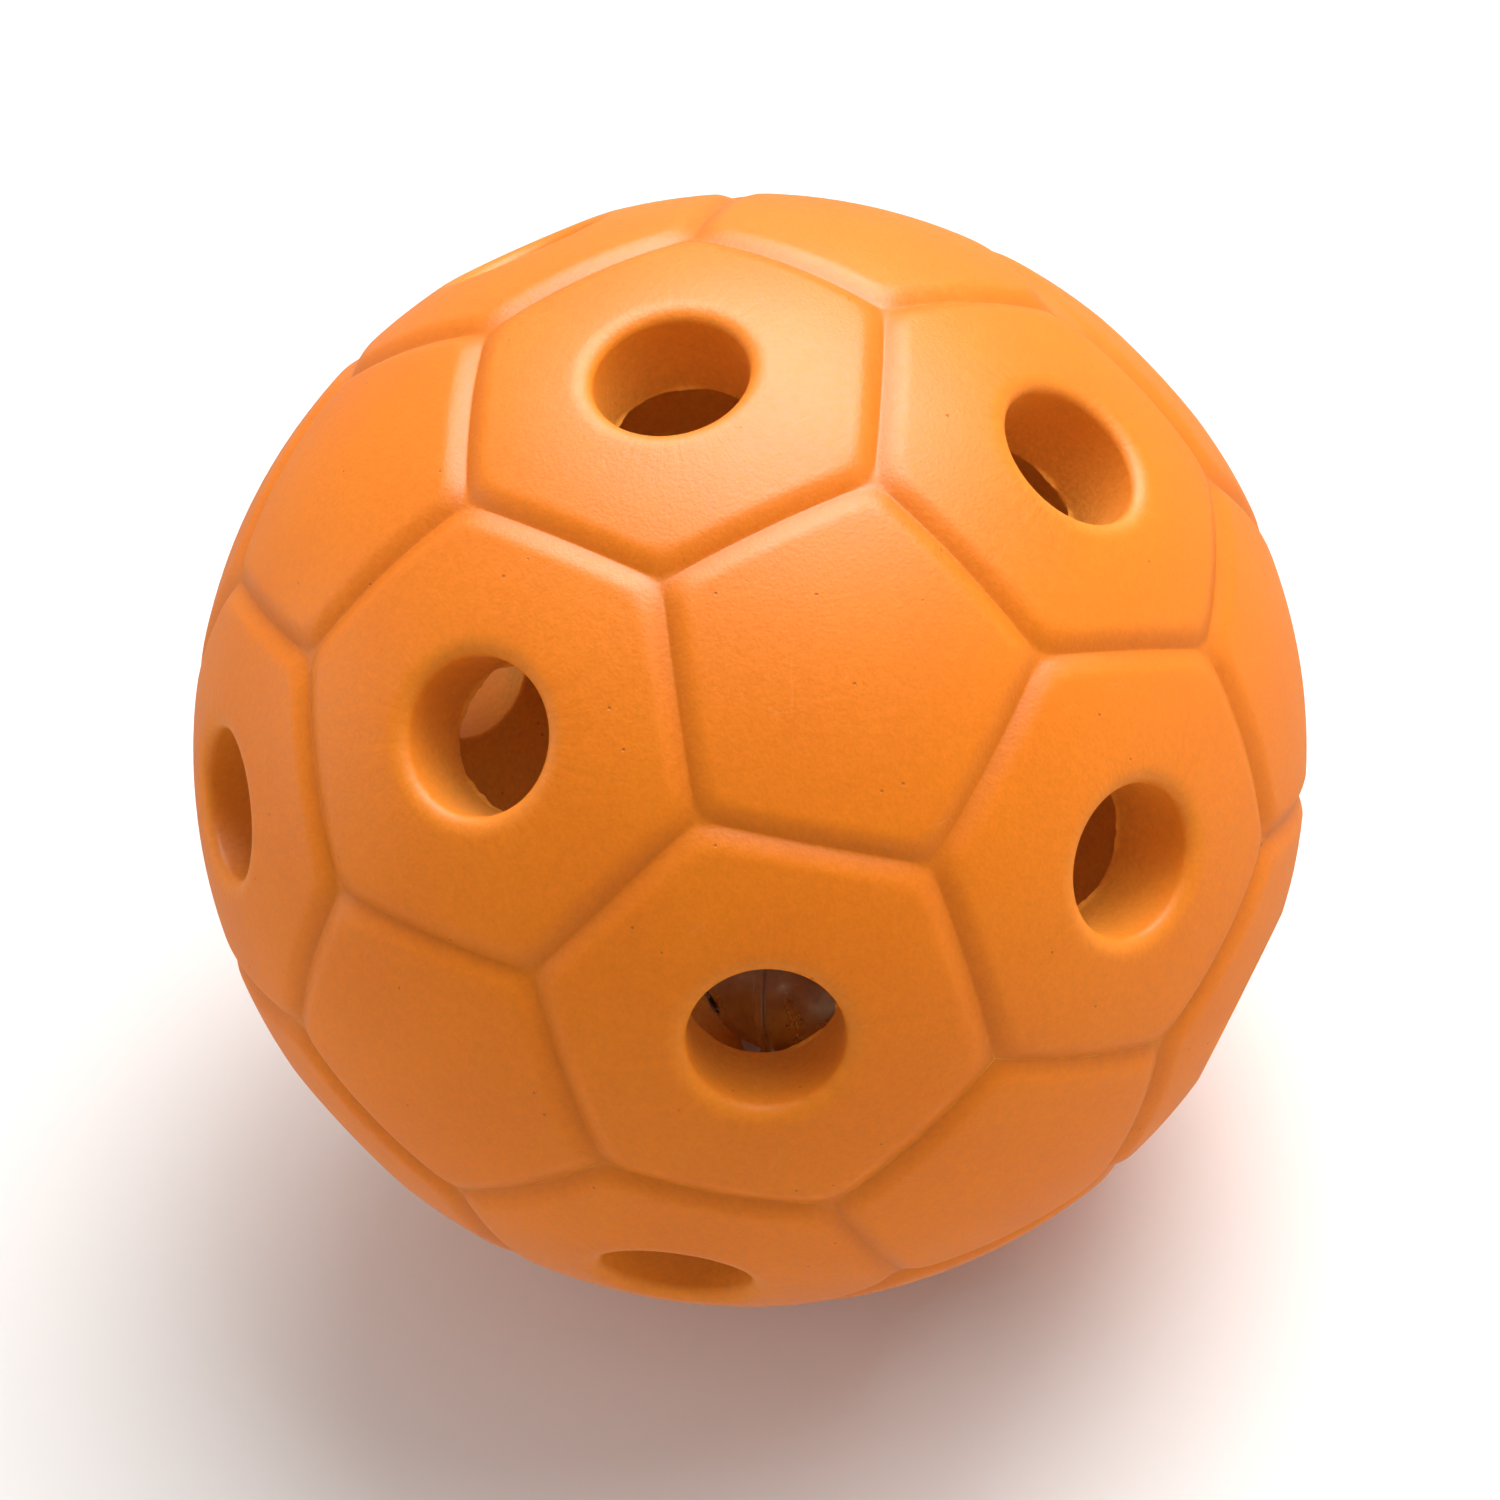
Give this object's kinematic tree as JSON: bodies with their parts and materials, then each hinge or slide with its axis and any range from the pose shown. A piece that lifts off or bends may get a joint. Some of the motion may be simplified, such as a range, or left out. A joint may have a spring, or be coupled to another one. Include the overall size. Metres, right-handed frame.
{
  "type": "sound soccer ball",
  "caption": "Foam-rubber football with a moulded panel pattern, pierced by round sound holes, with a loose jingle bell inside.",
  "frame": {"origin": "centre of the ball", "axes": "+Z out through the middle of a six-sided panel and its hole, so the ball stands on the opposite hole's rim; the middle of one of the upper half's high five-sided panels is 15 degrees round from -Y towards +X. The side seen first faces -Y"},
  "size_m": [0.18, 0.18, 0.1772],
  "materials": {
    "foam_rubber": "matte",
    "nickel_plate": "polished",
    "steel_wire": "polished",
    "steel_pellet": "satin"
  },
  "bodies": {
    "ball": {"upper_half": "foam_rubber", "lower_half": "foam_rubber"},
    "bell": {"bell_upper_cup": "nickel_plate", "bell_lower_cup": "nickel_plate", "bell_loop": "steel_wire"},
    "pellet": {"bell_pellet": "steel_pellet"}
  },
  "joints": [
    {"name": "bell_roll", "type": "hinge", "parent": "ball", "child": "bell", "pos_m": [0, 0, 0], "axis": [0.866, -0.5, 0], "continuous": true},
    {"name": "pellet_roll", "type": "hinge", "parent": "bell", "child": "pellet", "pos_m": [0, 0, -0.05416], "axis": [0.866, -0.5, 0], "continuous": true}
  ]
}
